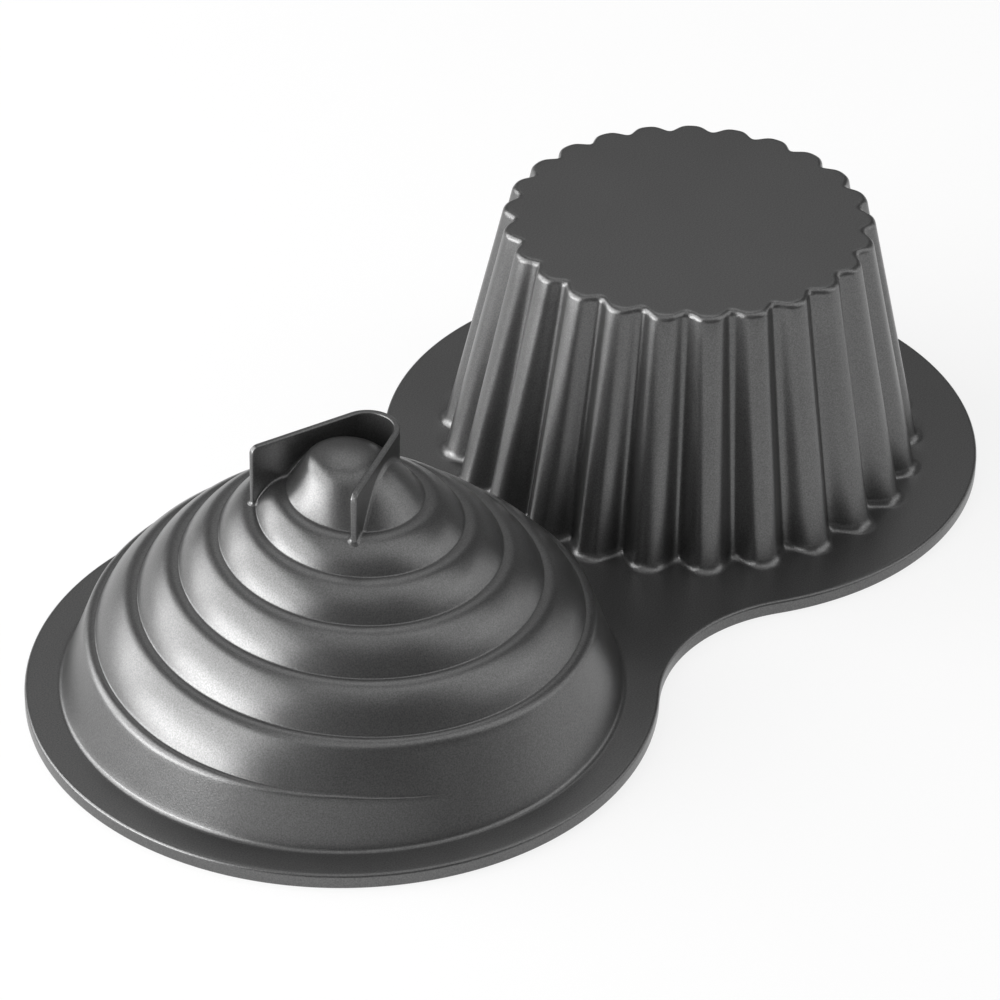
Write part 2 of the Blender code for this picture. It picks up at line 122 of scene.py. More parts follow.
def angle_property(name, description, degrees):
    """An angle, given here in degrees and kept in radians."""
    return FloatProperty(
        name=name, description=description, default=math.radians(degrees), subtype="ANGLE"
    )


def number_property(name, description, default):
    """A plain number."""
    return FloatProperty(name=name, description=description, default=default, precision=3)


class FlangeSizes(bpy.types.PropertyGroup):
    """Sizes of the figure of eight flange, and where the moulds stand on it."""

    lobe_radius: length_property("Lobe radius", "Radius of each round end", 0.106)
    waist_radius: length_property("Waist radius", "Radius of the hollow sides", 0.059)
    lip_width: length_property("Lip width", "Width of the lip under the edge", 0.004)
    edge_round: length_property("Edge round", "Rounding of the top edge", 0.0011)
    foot_round: length_property("Foot round", "Rounding of the lip's foot", 0.0004)
    spiral_ledge: length_property("Spiral ledge", "Flange round the spiral", 0.0108)
    cup_ledge: length_property("Cup ledge", "Flange round the cup", 0.0181)
    web: length_property("Web", "Flange between the two moulds", 0.0049)
    apron: length_property("Apron", "Flat ring that belongs to each mould", 0.001)


class CupSizes(bpy.types.PropertyGroup):
    """Sizes of the fluted cup."""

    flutes: IntProperty(name="Flutes", description="Flutes round the cup", default=25)
    lean: angle_property("Wall lean", "How far the wall leans in", 11.3)
    foot_swell: length_property("Swell at foot", "Half depth of a flute, low", 0.00375)
    base_swell: length_property("Swell at base", "Half depth of a flute, high", 0.00185)
    fullness: number_property("Fullness", "How much wider crests are than valleys", 0.4)
    foot_fillet: length_property("Foot fillet", "Radius where wall meets flange", 0.0038)
    base_round: length_property("Base round", "Rounding round the base", 0.0026)
    inside_round: length_property("Inside round", "Rounding of the inside corner", 0.003)


class SpiralSizes(bpy.types.PropertyGroup):
    """Sizes of the stepped spiral."""

    turns: IntProperty(name="Turns", description="Turns of the crease", default=5)
    foot_fillet: length_property("Foot fillet", "Radius where wall meets flange", 0.002)
    start_angle: angle_property("Start angle", "Plan angle where the crease starts", 217.85)
    start_inset: length_property("Start inset", "Crease start inside the foot", 0.0053)
    start_rise: length_property("Start rise", "Crease start over the flange", 0.0185)
    end_radius: length_property("End radius", "Radius of the crease at its end", 0.0216)
    end_drop: length_property("End drop", "Crease end under the pan's top", 0.0156)
    pinch: length_property("Pinch", "How far the turns draw in midway", 0.0072)
    bulge: length_property("Bulge", "How far the turns rise midway", 0.0178)
    shift_x: length_property("Shift along", "Turns off centre, along the pan", 0.0010)
    shift_y: length_property("Shift across", "Turns off centre, across the pan", -0.0033)
    tilt: length_property("Tilt", "Rise of one side of a turn", 0.0012)
    swell: length_property("Swell", "How far the turns bulge on one side", 0.0023)
    swell_angle: angle_property("Swell angle", "Plan angle of the bulge's middle", 84)
    ledge: length_property("Ledge", "From a shoulder's corner to the crease", 0.0032)
    ledge_angle: angle_property("Ledge angle", "Slope of a step's ledge", -4)
    wall_bow: angle_property("Wall bow", "How far a wall's ends turn from its chord", 11)
    shoulder: length_property("Shoulder", "Reach of a shoulder's round", 0.0027)
    crease_round: length_property("Crease round", "Radius in the crease", 0.0006)
    foot_angle: angle_property("Foot angle", "Slope where the foot's fillet ends", 68)
    dome_radius: length_property("Crown radius", "Radius of the dome's crown", 0.0085)
    dome_drop: length_property("Crown drop", "Crown's edge under the pan's top", 0.0005)
    dome_wall_angle: angle_property("Dome wall", "Slope at the dome's foot", 52)
    dome_top_angle: angle_property("Dome top", "Slope at the crown's edge", 17)
    dome_wall_pull: number_property("Dome wall pull", "How long the dome stays steep", 0.5)
    dome_top_pull: number_property("Dome top pull", "How long the dome stays flat", 0.3)


class StandSizes(bpy.types.PropertyGroup):
    """Sizes of the bent stand wall round the spiral's tip."""

    reach: length_property("Reach", "Outer face of a leg from the tip", 0.0154)
    thickness: length_property("Thickness", "Thickness of the wall", 0.00205)
    rise: length_property("Rise", "Top of the wall over the cup's base", 0.0012)
    bend_radius: length_property("Bend radius", "Outer radius of the bend", 0.0107)
    shift: length_property("Shift", "Middle line off the tip, across the pan", 0.0014)
    leg_angle: angle_property("Leg angle", "Each leg's lean from the long axis", 19)
    leg_end: length_property("Leg end", "Legs' outer corners from the tip", 0.0185)
    edge_round: length_property("Edge round", "Rounding of the top edges", 0.0005)
    end_round: length_property("End round", "Rounding of the legs' upright edges", 0.0007)
    corner_round: length_property("Corner round", "Rounding of the top corners", 0.003)
    foot_fillet: length_property("Foot fillet", "Radius where it meets the spiral", 0.0012)


class CoatFinish(bpy.types.PropertyGroup):
    """The dark non-stick coat."""

    colour: FloatVectorProperty(
        name="Colour", description="Colour of the coat", default=(0.14, 0.14, 0.14),
        subtype="COLOR", min=0, max=1,
    )
    metal: number_property("Metal", "Share of metal flake in the coat", 0.85)
    roughness: number_property("Roughness", "Mean roughness of the coat", 0.32)
    grain: length_property("Grain", "Size of the sandy grain", 0.0005)
    grain_depth: length_property("Grain depth", "Depth of the sandy grain", 0.00004)
    speckle: number_property("Speckle", "How far the colour strays from grain to grain", 0.22)
    cloud: length_property("Cloud", "Size of the duller and shinier patches", 0.025)
    unevenness: number_property("Unevenness", "How far the roughness strays", 0.03)


class StudioSettings(bpy.types.PropertyGroup):
    """The camera, the floor and the lamps."""

    azimuth: angle_property("Azimuth", "Camera's turn about the pan", -52.146)
    elevation: angle_property("Elevation", "Camera's height angle", 34.657)
    roll: angle_property("Roll", "Camera's roll", 1.074)
    distance: length_property("Distance", "Camera to the aim", 1.7543)
    aim_height: length_property("Aim height", "Height that the camera aims at", 0.0282)
    aim_right: length_property("Aim right", "Camera's place right of the aim", -0.0063)
    aim_up: length_property("Aim up", "Camera's place above the aim", -0.0012)
    focal_ratio: number_property("Focal ratio", "Focal length over sensor width", 5.1084)
    floor_colour: FloatVectorProperty(
        name="Floor", description="Colour of the floor", default=(0.9, 0.9, 0.9),
        subtype="COLOR", min=0, max=1,
    )
    floor_white: number_property("Floor white", "How far the floor is seen as white", 0.8)
    world_level: number_property("World level", "Strength of the room's light", 0.17)


def unit(vectors):
    """Vectors along the last axis made one long, or left at zero."""
    length = np.linalg.norm(vectors, axis=-1, keepdims=True)
    return vectors / np.maximum(length, LEAST_LENGTH)


def smooth_step(start, end, value):
    """0 below start, 1 above end, and the cubic 3s^2 - 2s^3 between them."""
    share = np.clip((value - start) / (end - start), 0, 1)
    return share * share * (3 - 2 * share)


def mix(first, second, weight):
    """Between two grids, the second where a column's weight is 1."""
    weight = weight[:, None, None]
    return first * (1 - weight) + second * weight


def blend_rows(first, last, steps):
    """Rows on straight lines from one row of points to another, both included."""
    return [first + (last - first) * share for share in np.linspace(0, 1, steps + 1)]


def arc(centre, radius, start, end, steps):
    """Plan points on a circle: centre plus radius along the angle, from start to end."""
    angle = np.linspace(start, end, steps + 1)
    x = centre[0] + radius * np.cos(angle)
    y = centre[1] + radius * np.sin(angle)
    return np.stack([x, y], axis=1)


def level(radii, height):
    """A row of a section: one (radius, height) pair for each angle, all at one height."""
    return np.stack([radii, np.full_like(radii, height)], axis=-1)


def corner_arc(corner, back, ahead, tangent, share):
    """A circular arc in a corner, as a rational quadratic curve.

    It runs from a tangent's length back along one side to the same length ahead along
    the other. The corner is its middle control point, weighted by the sine of half the
    angle between the sides, which makes the curve a true arc and a flat corner a line.
    """
    cosine = np.clip((back * ahead).sum(axis=-1), -1, 1)
    weight = np.sqrt((1 - cosine) / 2)[..., None, None]
    start = (corner + back * tangent[..., None])[..., None, :]
    end = (corner + ahead * tangent[..., None])[..., None, :]
    share = share[..., None]
    first = (1 - share) ** 2
    middle = 2 * weight * share * (1 - share)
    last = share**2
    points = first * start + middle * corner[..., None, :] + last * end
    return points / (first + middle + last)


def half_corner(back, ahead):
    """Half the angle between the two unit directions that leave a corner."""
    return np.arccos(np.clip((back * ahead).sum(axis=-1), -1, 1)) / 2


def tangent_arc(before, corner, after, radius, steps):
    """Points round a corner, on an arc tangent to both of its sides.

    The arc leaves each side at the radius over the tangent of half the corner's angle.
    """
    back = unit(before - corner)
    ahead = unit(after - corner)
    tangent = radius / np.tan(half_corner(back, ahead))
    return corner_arc(corner, back, ahead, tangent, np.linspace(0, 1, steps + 1))


def rounded_corner(before, corner, after, radius):
    """The rows of a section round one of its corners."""
    return list(np.moveaxis(tangent_arc(before, corner, after, radius, FILLET_STEPS), 1, 0))


def bowed_wall(lower, upper, back):
    """Rows up a wall, on a quadratic Bezier curve that leaves its upper end along back.

    The curve's middle control point lies half the wall's length back from that end.
    """
    pull = np.linalg.norm(upper - lower, axis=1, keepdims=True) / 2
    middle = (upper + back * pull)[:, None]
    climbed = np.linspace(0, 1, WALL_ROWS + 1)[:, None]
    wall = lower[:, None] * (1 - climbed) ** 2 + upper[:, None] * climbed**2
    return wall + 2 * middle * climbed * (1 - climbed)


@contextmanager
def editing(mesh):
    """A mesh as a bmesh, which is written back to it afterwards."""
    shape = bmesh.new()
    shape.from_mesh(mesh)
    yield shape
    shape.to_mesh(mesh)
    shape.free()


def quad_corners(grid):
    """The four corners of each quad of a grid, in their order round it."""
    return grid[:-1, :-1], grid[1:, :-1], grid[1:, 1:], grid[:-1, 1:]


def grid_mesh(name, grids):
    """A mesh of quads on grids of points, welded where the grids or their edges meet."""
    points = []
    faces = []
    for grid in grids:
        number = np.arange(grid.shape[0] * grid.shape[1]).reshape(grid.shape[:2])
        number += sum(len(block) for block in points)
        faces.append(np.stack(quad_corners(number), axis=2).reshape(-1, 4))
        points.append(grid.reshape(-1, 3))
    mesh = bpy.data.meshes.new(name)
    mesh.from_pydata(np.concatenate(points), [], np.concatenate(faces))
    with editing(mesh) as shape:
        bmesh.ops.remove_doubles(shape, verts=shape.verts, dist=WELD)
    return mesh


def add_object(name, data):
    """A new object in the scene's own collection."""
    obj = bpy.data.objects.new(name, data)
    bpy.context.scene.collection.objects.link(obj)
    return obj


def finish_piece(mesh, node):
    """Shades a mesh smooth, coats it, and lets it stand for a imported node."""
    mesh.shade_smooth()
    mesh.set_sharp_from_angle(angle=SHARP_EDGE)
    obj = add_object(mesh.name, mesh)
    mesh.materials.append(coat_material())
    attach(obj, "root")
    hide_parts(node)
    return obj


def spiral_seam(flange):
    """Radius of the outer line of the fillet at the spiral's foot."""
    return flange.lobe_radius - flange.spiral_ledge


def cup_seam(flange):
    """Radius of the outer line of the fillet at the crests of the cup's foot."""
    return flange.lobe_radius - flange.cup_ledge


def half_spacing(flange):
    """Half the distance between the two moulds' axes."""
    return (spiral_seam(flange) + cup_seam(flange) + flange.web) / 2


def spiral_angles(spiral):
    """Plan angles of the spiral's columns, anticlockwise, the first one repeated."""
    return spiral.start_angle + np.arange(TURN_STEPS + 1) * math.tau / TURN_STEPS


def cup_angles(cup):
    """Plan angles of the cup's columns, anticlockwise, the first one repeated."""
    steps = cup.flutes * STEPS_PER_FLUTE
    return np.arange(steps + 1) * math.tau / steps


def flange_outline(flange, inset):
    """The figure of eight: two lobes joined by two hollow arcs tangent to both.

    The hollow arcs' centres lie between the lobes, as far to the side as makes the
    distance to a lobe's centre the sum of the two radii. The first point comes again at
    the end.
    """
    lobe = flange.lobe_radius - inset
    waist = flange.waist_radius + inset
    half = half_spacing(flange)
    waist_y = math.sqrt((lobe + waist) ** 2 - half**2)
    joint = math.atan2(waist_y, half)
    lobe_end = math.pi - joint
    outline = np.concatenate(
        [
            arc((half, 0), lobe, -lobe_end, lobe_end, LOBE_STEPS),
            arc((0, waist_y), waist, -joint, joint - math.pi, WAIST_STEPS)[1:-1],
            arc((-half, 0), lobe, joint, math.tau - joint, LOBE_STEPS),
            arc((0, -waist_y), waist, math.pi - joint, joint, WAIST_STEPS)[1:-1],
        ]
    )
    return np.concatenate([outline, outline[:1]])


def flange_section(flange):
    """The flange's edge as (inset, height) pairs, from its top round to its underside.

    A row at twice the edge's round keeps the flat top apart from the rounding.
    """
    top = np.array([[flange.lip_width, RIM_TOP]])
    corner = np.array([[0.0, RIM_TOP]])
    foot = np.array([[0.0, 0.0]])
    lip = np.array([[flange.lip_width, 0.0]])
    rows = [top, top + (flange.edge_round * 2 - flange.lip_width, 0)]
    rows += rounded_corner(top, corner, foot, flange.edge_round)
    rows += rounded_corner(corner, foot, lip, flange.foot_round)
    rows += [lip, lip + (0, PLATE_UNDERSIDE)]
    return np.concatenate(rows)


def hole_wall(angles, radius, centre_x):
    """The upright wall of a round hole in the plate, from its underside to its top."""
    x = centre_x + radius * np.cos(angles)
    y = radius * np.sin(angles)
    rows = [np.stack([x, y, np.full_like(x, z)], axis=1) for z in (PLATE_UNDERSIDE, RIM_TOP)]
    return np.stack(rows, axis=1)


def fill_level(shape, height):
    """Closes the flat face whose open edges all lie at one height."""
    edges = [
        edge
        for edge in shape.edges
        if edge.is_boundary and all(abs(v.co.z - height) < WELD for v in edge.verts)
    ]
    bmesh.ops.triangle_fill(shape, edges=edges, use_beauty=True, use_dissolve=False)


def build_flange(flange, cup, spiral):
    """The flange: an edge section carried round the figure of eight, and a flat plate."""
    half = half_spacing(flange)
    outline = [
        np.insert(flange_outline(flange, inset), 2, height, axis=1)
        for inset, height in flange_section(flange)
    ]
    spiral_hole = hole_wall(spiral_angles(spiral), spiral_seam(flange) + flange.apron, -half)
    cup_hole = hole_wall(cup_angles(cup), cup_seam(flange) + flange.apron, half)
    mesh = grid_mesh("flange", [np.stack(outline, axis=1), spiral_hole, cup_hole])
    with editing(mesh) as shape:
        fill_level(shape, RIM_TOP)
        fill_level(shape, PLATE_UNDERSIDE)
        bmesh.ops.recalc_face_normals(shape, faces=shape.faces)
    return mesh


def flute_wave(cup):
    """The flutes' wave, -1 in a valley and 1 on a crest, and fuller on the crests.

    It is minus the cosine of the angle times the number of flutes, plus a share of that
    angle's squared sine.
    """
    phase = cup.flutes * cup_angles(cup)
    return -np.cos(phase) + cup.fullness * np.sin(phase) ** 2


def cup_outlines(flange, cup):
    """The corners at the cup's foot and base: a mean radius plus the swell's wave.

    The foot's mean radius leaves room for the fillet inside the seam, and the base's is
    less by what the wall's lean draws in.
    """
    wave = flute_wave(cup)
    rise = PAN_HEIGHT - RIM_TOP
    drawn_in = rise * math.tan(cup.lean)
    crest_lean = math.atan2(drawn_in + cup.foot_swell - cup.base_swell, rise)
    fillet_width = cup.foot_fillet * math.tan((math.pi / 2 - crest_lean) / 2)
    mean_foot = cup_seam(flange) - fillet_width - cup.foot_swell
    foot = level(mean_foot + cup.foot_swell * wave, RIM_TOP)
    base = level(mean_foot - drawn_in + cup.base_swell * wave, PAN_HEIGHT)
    return foot, base


def cup_section(flange, cup):
    """The cup's closed section at each angle: up the outside and down the inside.

    The wall is a straight line from the foot's corner to the base's. Each inner corner
    lies the thickness over the lean's cosine inwards, and as far again down the wall.
    """
    foot, base = cup_outlines(flange, cup)
    thickness = RIM_TOP - PLATE_UNDERSIDE
    inwards = np.array((-thickness / math.cos(cup.lean), 0))
    down = unit(foot - base) * thickness / math.cos(cup.lean)
    inner_foot = foot + inwards + down
    inner_base = base + inwards + down
    apron = level(np.full_like(foot[:, 0], cup_seam(flange) + flange.apron), RIM_TOP)
    under_apron = apron - (0, thickness)
    centre = base * (0, 1)
    inner_centre = centre - (0, thickness)
    outside = rounded_corner(apron, foot, base, cup.foot_fillet)
    base_rows = rounded_corner(foot, base, centre, cup.base_round)
    outside += blend_rows(outside[-1], base_rows[0], CUP_WALL_ROWS)[1:-1] + base_rows
    outside += [centre + (base - centre) * share for share in BASE_RINGS]
    inside = rounded_corner(inner_centre, inner_base, inner_foot, cup.inside_round)
    inner_fillet = cup.foot_fillet + thickness
    foot_rows = rounded_corner(inner_base, inner_foot, under_apron, inner_fillet)
    inside += blend_rows(inside[-1], foot_rows[0], CUP_WALL_ROWS)[1:-1] + foot_rows
    rows = [under_apron, apron, *outside, centre, inner_centre, *inside, under_apron]
    return np.stack(rows, axis=1)


def build_cup(flange, cup):
    """The fluted cup: its section carried round the axis."""
    angles = cup_angles(cup)
    section = cup_section(flange, cup)
    x = half_spacing(flange) + np.cos(angles)[:, None] * section[..., 0]
    y = np.sin(angles)[:, None] * section[..., 0]
    return grid_mesh("fluted_cup", [np.stack([x, y, section[..., 1]], axis=2)])


class StepCurves:
    """The stepped spiral's lines and walls, as functions of the turn.

    The plan angle falls as the turn grows, so the crease climbs clockwise as seen from
    above. All lines are rows of points about the mould's own axis.
    """

    # Turns before the start in which the line climbs the wall, and past the last one in
    # which the strip runs out at the crown
    ramp = round(0.35 * TURN_STEPS) / TURN_STEPS
    tip = round(1.25 * TURN_STEPS) / TURN_STEPS
    # Turns from the start at which the crease begins to leave the wall, and is clear of it
    grow_start = -0.065
    grow_end = 0.12
    # Turns past the last one at which the crease begins to fade, and how long it takes
    tip_start = 0.38
    tip_fade = 0.22
    # How quickly the crease settles past its end, in turns
    settle = 0.3
    # Turns past the last one at which shift, swell and tilt are gone, and how long that
    # takes
    shift_end = 1.2
    shift_fade = 2.0

    def __init__(self, flange, spiral):
        self.sizes = spiral
        self.seam = spiral_seam(flange)
        self.tangent = spiral.foot_fillet / math.tan((math.pi - spiral.foot_angle) / 2)
        self.wall_radius = self.seam - self.tangent * (1 + math.cos(spiral.foot_angle))
        self.wall_height = RIM_TOP + self.tangent * math.sin(spiral.foot_angle)
        self.full_turn = -self.ramp - np.arange(TURN_STEPS + 1) / TURN_STEPS

    def ring(self, turn, radius, height):
        """Points of a level ring at the turns' plan angles."""
        angle = self.sizes.start_angle - math.tau * turn
        flat = np.full_like(angle, height)
        return np.stack([radius * np.cos(angle), radius * np.sin(angle), flat], axis=1)

    def foot_ring(self, turn):
        """The line where the wall leaves the fillet at the mould's foot."""
        return self.ring(turn, self.wall_radius, self.wall_height)

    def crown_ring(self, turn):
        """The line where the dome's wall meets its crown."""
        return self.ring(turn, self.sizes.dome_radius, PAN_HEIGHT - self.sizes.dome_drop)

    def crease(self, turn):
        """The crease at the foot of each step.

        Radius and height go from the start's to the end's in a straight line, less or
        plus a parabola that is zero at both. Past the end they settle, as one less an
        exponential. The turns lie a little off the mould's centre and a little tilted, and
        bulge on one side by the swell times the fourth power of the cosine from the
        bulge's middle. All three fade out over the last turns.
        """
        spiral = self.sizes
        past = np.maximum(turn - spiral.turns, 0)
        settled = self.settle * (1 - np.exp(-past / self.settle))
        share = (turn - past + settled) / spiral.turns
        parabola = share * (1 - share)
        start_radius = self.wall_radius - spiral.start_inset
        start_height = RIM_TOP + spiral.start_rise
        end_height = PAN_HEIGHT - spiral.end_drop
        radius = start_radius + (spiral.end_radius - start_radius) * share
        radius = radius - spiral.pinch * parabola
        beside = np.cos(spiral.start_angle - math.tau * turn - spiral.swell_angle)
        height = start_height + (end_height - start_height) * share + spiral.bulge * parabola
        fade = np.clip((spiral.turns + self.shift_end - turn) / self.shift_fade, 0, 1)
        radius = radius + fade * spiral.swell * np.maximum(beside, 0) ** 4
        points = self.ring(turn, 1.0, 0.0)
        x = fade * spiral.shift_x + radius * points[:, 0]
        y = fade * spiral.shift_y + radius * points[:, 1]
        return np.stack([x, y, height + fade * spiral.tilt * points[:, 1]], axis=1)

    def growth(self, turn):
        """How far the crease is grown: 0 while it climbs the wall, 1 past its start."""
        grown = (turn - self.grow_start) / (self.grow_end - self.grow_start)
        return np.clip(grown, 0, 1)

    def corner_below(self, lower, upper, size):
        """The corner of a step: the ledge's length, times the size, short of the crease."""
        heading = unit(upper[:, :2] - lower[:, :2])
        fall = np.full((len(upper), 1), math.tan(self.sizes.ledge_angle))
        ledge = self.sizes.ledge * size[:, None] * np.concatenate([heading, fall], axis=1)
        return upper - ledge

    def growing_crease(self, turn):
        """The crease, which starts on the straight wall of the foot and leaves it.

        Before its start it climbs that wall from the foot. The wall's line runs from the
        foot to the corner one turn on. While the crease grows it moves from that line to
        its own place, by the growth.
        """
        crease = self.crease(turn)
        foot = self.foot_ring(turn)
        corner = self.corner_below(foot, self.crease(turn + 1), np.ones_like(turn))
        climb = np.clip((turn + self.ramp) / self.ramp, 0, 1)[:, None]
        rise = (crease - foot)[:, 2:] * climb
        on_wall = foot + (corner - foot) * rise / (corner - foot)[:, 2:]
        return on_wall + (crease - on_wall) * self.growth(turn)[:, None]

    def step(self, turn):
        """Rows up one step: its bowed wall, its shoulder, and its ledge as the last row.

        The wall's chord aims at the corner below the next turn of the crease. The wall's
        upper end leans from the chord by the bow, and an arc rounds the corner from there.
        It ends on the ledge, short of the crease. The bow grows with the crease below the
        wall, the ledge and the arc with the one above.
        """
        spiral = self.sizes
        on_foot = (turn < -self.ramp)[:, None]
        lower = np.where(on_foot, self.foot_ring(turn), self.growing_crease(turn))
        upper = self.growing_crease(turn + 1)
        size = self.growth(turn + 1)
        corner = self.corner_below(lower, upper, size)
        chord = unit(lower - corner)
        bulge = unit(np.array((0, 0, 1)) - chord * chord[:, 2:])
        bow = spiral.wall_bow * self.growth(turn)[:, None]
        back = chord * np.cos(bow) + bulge * np.sin(bow)
        ahead = unit(upper - self.corner_below(lower, upper, np.ones_like(turn)))
        tangent = size * spiral.shoulder
        wall = bowed_wall(lower, corner + back * tangent[:, None], back)
        turned = np.linspace(0, 1, STEP_ROWS - WALL_ROWS)
        shoulder = corner_arc(corner, back, ahead, tangent, turned)
        return np.concatenate([wall, shoulder[:, 1:], upper[:, None]], axis=1)

    def dome_curve(self, lower, upper, share):
        """The dome's wall, one cubic Bezier curve in the plane of both lines.

        It leaves the lower line at the wall's angle and meets the upper one at the
        crown's. The pulls are the lengths of its handles, as shares of its chord.
        """
        spiral = self.sizes
        run = upper - lower
        reach = np.hypot(run[:, 0], run[:, 1])[:, None]
        rise = run[:, 2:]
        near_pull = spiral.dome_wall_pull * np.hypot(reach, rise)
        far_pull = spiral.dome_top_pull * np.hypot(reach, rise)
        rest = 1 - share
        near = 3 * rest**2 * share
        far = 3 * rest * share**2
        out = near * near_pull * math.cos(spiral.dome_wall_angle) + share**3 * reach
        out += far * (reach - far_pull * math.cos(spiral.dome_top_angle))
        up = near * near_pull * math.sin(spiral.dome_wall_angle) + share**3 * rise
        up += far * (rise - far_pull * math.sin(spiral.dome_top_angle))
        plan = lower[:, None, :2] + out[..., None] * unit(run[:, None, :2])
        return np.concatenate([plan, (lower[:, 2:] + up)[..., None]], axis=2)

    def dome_rows(self, lower, turn, start, end):
        """Rows up the dome from a line below it, from the start to the end parameter."""
        share = start[:, None] + (end - start)[:, None] * np.linspace(0, 1, STEP_ROWS + 1)
        return self.dome_curve(lower, self.crown_ring(turn), share)

    def dome_share(self, lower, upper, height):
        """The parameter at which the dome passes a height, read from fine points."""
        fine = np.linspace(0, 1, READING_STEPS + 1)
        share = np.broadcast_to(fine, (len(lower), len(fine)))
        heights = self.dome_curve(lower, upper, share)[..., 2]
        return np.array([np.interp(z, column, fine) for z, column in zip(height, heights)])

    def end_of_crease(self, turn):
        """Where up the dome the last crease runs out, and how much of it is left.

        Its height goes from the crease's to the crown's, by the cubic of smooth_step.
        """
        start = self.sizes.turns + self.tip_start
        end = start + self.tip_fade
        rise = smooth_step(end, self.sizes.turns + self.tip, turn)
        top = self.crown_ring(turn)
        line = self.crease(turn)[:, 2]
        height = line + (top[:, 2] - line) * rise
        hidden = self.dome_share(self.crease(turn - 1), top, height)
        return hidden, 1 - smooth_step(start, end, turn)

    def below_tip(self, turn):
        """The last step while its crease runs out over the dome."""
        hidden, left = self.end_of_crease(turn + 1)
        plain = self.dome_rows(self.crease(turn), turn, np.zeros_like(turn), hidden)
        return mix(plain, self.step(turn), left)

    def dome_wall(self, turn):
        """The dome over the last turn of the crease."""
        return self.dome_rows(self.crease(turn), turn, np.zeros_like(turn), np.ones_like(turn))

    def above_tip(self, turn):
        """The dome over the last crease while that runs out."""
        hidden, left = self.end_of_crease(turn)
        plain = self.dome_rows(self.crease(turn - 1), turn, hidden, np.ones_like(turn))
        return mix(plain, self.dome_wall(turn), left)

    def strip(self):
        """The stepped wall as one long strip: a column for each angle, rows up each step.

        A column runs from the crease to the crease one turn further on, so the strip's
        upper edge is its own lower edge one turn later.
        """
        turns = self.sizes.turns
        first = -self.ramp - 1
        last = turns + self.tip
        tip_start = turns + self.tip_start
        turn = first + np.arange(round((last - first) * TURN_STEPS) + 1) / TURN_STEPS
        ends = (tip_start - 1, last - 1, tip_start)
        zones = (self.step, self.below_tip, self.dome_wall, self.above_tip)
        zone_of = np.searchsorted(ends, turn)
        return np.concatenate([zone(turn[zone_of == i]) for i, zone in enumerate(zones)])

    def filleted_strip(self):
        """The strip with a small round laid into its crease.

        At each point of the crease an arc runs from the ledge below to the wall above. Its
        first half is the end of one column and its second half the start of the column
        one turn later. Where there is no crease, the arc is a straight line. No arc takes
        up more than a set part of the rows beside it.
        """
        strip = self.strip()
        corner = np.concatenate([strip[:, 0], strip[-TURN_STEPS:, -1]])
        below = np.concatenate([strip[:TURN_STEPS, 0], strip[:, -2]]) - corner
        above = np.concatenate([strip[:, 1], strip[-TURN_STEPS:, -1]]) - corner
        below[:TURN_STEPS] = -above[:TURN_STEPS]
        above[-TURN_STEPS:] = -below[-TURN_STEPS:]
        room = np.minimum(np.linalg.norm(below, axis=1), np.linalg.norm(above, axis=1))
        back = unit(below)
        ahead = unit(above)
        half = np.maximum(half_corner(back, ahead), LEAST_HALF_CORNER)
        tangent = np.minimum(self.sizes.crease_round / np.tan(half), LARGEST_SHARE * room)
        share = np.linspace(0, 1, 2 * CREASE_STEPS + 1)
        arcs = corner_arc(corner, back, ahead, tangent, share)
        lower = arcs[: len(strip), CREASE_STEPS:]
        upper = arcs[TURN_STEPS:, : CREASE_STEPS + 1]
        return np.concatenate([lower, strip[:, 1:-1], upper], axis=1)

    def foot(self, apron):
        """The flat apron and the fillet at the mould's foot, carried round the axis."""
        even = np.ones_like(self.full_turn)
        edge = level((self.seam + apron) * even, RIM_TOP)
        corner = level((self.seam - self.tangent) * even, RIM_TOP)
        wall = level(self.wall_radius * even, self.wall_height)
        section = [edge, level((self.seam + apron / 2) * even, RIM_TOP)]
        section += rounded_corner(edge, corner, wall, self.sizes.foot_fillet)
        rows = [self.ring(self.full_turn, row[:, 0], row[0, 1]) for row in section]
        return np.stack(rows, axis=1)

    def crown(self):
        """The dome's crown: a paraboloid that leaves the dome's wall at its slope."""
        edge = self.crown_ring(self.full_turn)
        slope = math.tan(self.sizes.dome_top_angle)
        rows = []
        for share in np.linspace(1, 0, CROWN_ROWS + 1):
            rise = self.sizes.dome_radius * slope / 2 * (1 - share**2)
            rows.append(edge * (share, share, 1) + (0, 0, rise))
        return np.stack(rows, axis=1)


def build_spiral(flange, spiral):
    """The spiral's outer face as one mesh, open at its foot."""
    curves = StepCurves(flange, spiral)
    grids = [curves.foot(flange.apron), curves.filleted_strip()[::-1], curves.crown()]
    place = (-half_spacing(flange), 0, 0)
    return grid_mesh("stepped_spiral", [grid + place for grid in grids])


def keep_open_edges_sharp(mesh):
    """Marks the edges of an open surface sharp, so that its wall's edge stays crisp."""
    with editing(mesh) as shape:
        for edge in shape.edges:
            if edge.is_boundary:
                edge.smooth = False


def give_wall(obj, thickness):
    """Gives an open surface a wall inwards."""
    wall = obj.modifiers.new("wall", "SOLIDIFY")
    wall.thickness = thickness
    wall.offset = -1
    wall.use_even_offset = True


def doubled_area(a, b, c):
    """Twice the plan area of the triangles a, b and c, above zero if anticlockwise."""
    first = b - a
    second = c - a
    return first[..., 0] * second[..., 1] - first[..., 1] * second[..., 0]


